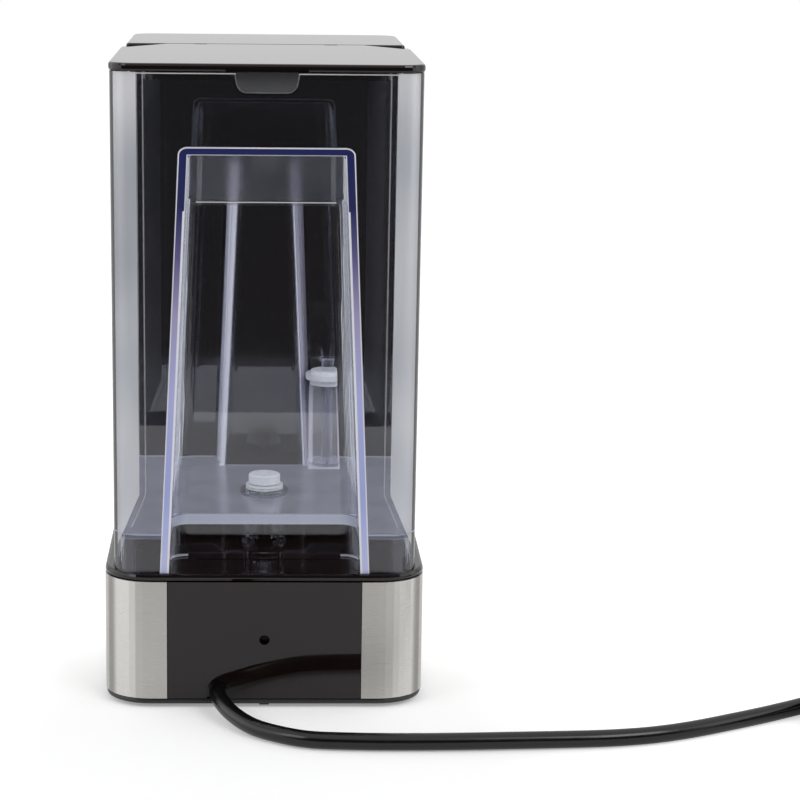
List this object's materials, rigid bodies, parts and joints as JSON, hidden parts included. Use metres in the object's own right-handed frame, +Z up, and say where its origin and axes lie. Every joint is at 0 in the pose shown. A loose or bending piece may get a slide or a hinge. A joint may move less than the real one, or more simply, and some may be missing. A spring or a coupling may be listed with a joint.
{
  "type": "hot water dispenser",
  "caption": "Counter-top hot water dispenser with a clear lift-off tank behind, a spout over a drip tray in front, and a steel-banded base.",
  "frame": {"origin": "centre of the body's footprint, without the cord, on the surface it stands on", "axes": "+Z up, +Y to the rear where the tank and the cord are, -Y to the front where the spout is, +X to the right as seen from the front"},
  "size_m": [0.5236, 0.3636, 0.33],
  "materials": {
    "black_gloss": "glossy",
    "black_satin": "satin",
    "black_rubber": "matt",
    "brushed_steel": "brushed",
    "plain_steel": "plain",
    "aluminium": "cast",
    "clear_plastic": "clear",
    "white_plastic": "satin",
    "silicone": "translucent",
    "board": "satin",
    "grey_plastic": "satin",
    "brass": "plain"
  },
  "bodies": {
    "base": {"base_pan": "black_satin", "foot_front_left": "black_rubber", "foot_front_right": "black_rubber", "foot_rear_left": "black_rubber", "foot_rear_right": "black_rubber", "steel_band": "brushed_steel", "rear_panel": "black_gloss", "panel_screw": "black_satin", "base_deck": "black_gloss", "valve_pin": "black_satin", "spigot_seal": "black_rubber", "tower_back": "black_gloss", "tower_shell": "black_satin", "heater": "aluminium", "heater_clamp_lower": "plain_steel", "heater_clamp_upper": "plain_steel", "thermostat": "black_satin", "level_sensor": "board", "head_shell": "black_satin", "head_cover": "black_gloss", "spout": "black_satin", "spout_nut": "white_plastic", "control_panel": "black_gloss", "encoder": "grey_plastic", "control_board": "board", "pump_motor": "plain_steel", "pump_head": "black_satin", "inlet_hose": "silicone", "riser_hose": "silicone", "outlet_hose": "silicone", "power_board": "board", "control_cable": "grey_plastic", "cord_gland": "black_rubber", "inner_flex": "black_rubber", "cord_clamp": "white_plastic", "cord_lead": "black_rubber", "cord_coil": "black_rubber", "cord_tie": "black_satin", "plug_body": "black_rubber", "plug_pin_one": "brass", "plug_pin_two": "brass"},
    "tank": {"tank": "clear_plastic", "float_guide": "clear_plastic", "float_cap": "clear_plastic", "lid_pin_left": "plain_steel", "lid_pin_right": "plain_steel"},
    "lid": {"tank_lid": "black_gloss"},
    "valve": {"valve_plug": "white_plastic", "valve_seal": "silicone", "valve_clip": "plain_steel", "valve_spring": "plain_steel"},
    "float": {"float": "white_plastic", "float_magnet": "grey_plastic"},
    "tray": {"drip_tray": "black_satin"},
    "grille": {"drip_grille": "brushed_steel"},
    "knob": {"selector_knob": "black_satin", "knob_shaft": "plain_steel"},
    "start": {"start_button": "white_plastic"},
    "lock": {"lock_button": "grey_plastic"},
    "impeller": {"pump_impeller": "white_plastic"}
  },
  "joints": [
    {"name": "tank_lift", "type": "slide", "parent": "base", "child": "tank", "axis": [0, 0, 1], "range_m": [0, 0.12]},
    {"name": "valve_close", "type": "slide", "parent": "tank", "child": "valve", "axis": [0, 0, 1], "range_m": [-0.0022, 0], "deforming": ["valve_spring"]},
    {"name": "lid_hinge", "type": "hinge", "parent": "tank", "child": "lid", "pos_m": [0, -0.02798, 0.32795], "axis": [1, 0, 0], "range_deg": [0, 95]},
    {"name": "float_rise", "type": "slide", "parent": "tank", "child": "float", "axis": [0, 0, 1], "range_m": [0, 0.005]},
    {"name": "tray_lift", "type": "slide", "parent": "base", "child": "tray", "axis": [0, 0, 1], "range_m": [0, 0.05]},
    {"name": "grille_lift", "type": "slide", "parent": "tray", "child": "grille", "axis": [0, 0, 1], "range_m": [0, 0.03]},
    {"name": "knob_turn", "type": "hinge", "parent": "base", "child": "knob", "pos_m": [0, -0.135, 0.293], "axis": [0, -1, 0], "range_deg": [-135, 135]},
    {"name": "start_press", "type": "slide", "parent": "base", "child": "start", "axis": [0, 1, 0], "range_m": [0, 0.0015], "stiffness_N_per_m": 300},
    {"name": "lock_press", "type": "slide", "parent": "base", "child": "lock", "axis": [0, 1, 0], "range_m": [0, 0.0015], "stiffness_N_per_m": 300},
    {"name": "impeller_spin", "type": "hinge", "parent": "base", "child": "impeller", "pos_m": [-0.04, 0.035, 0.024], "axis": [0, 1, 0], "continuous": true}
  ],
  "couplings": [
    {"joint": "valve_close", "follows": "tank_lift", "ratio": -0.018333}
  ]
}
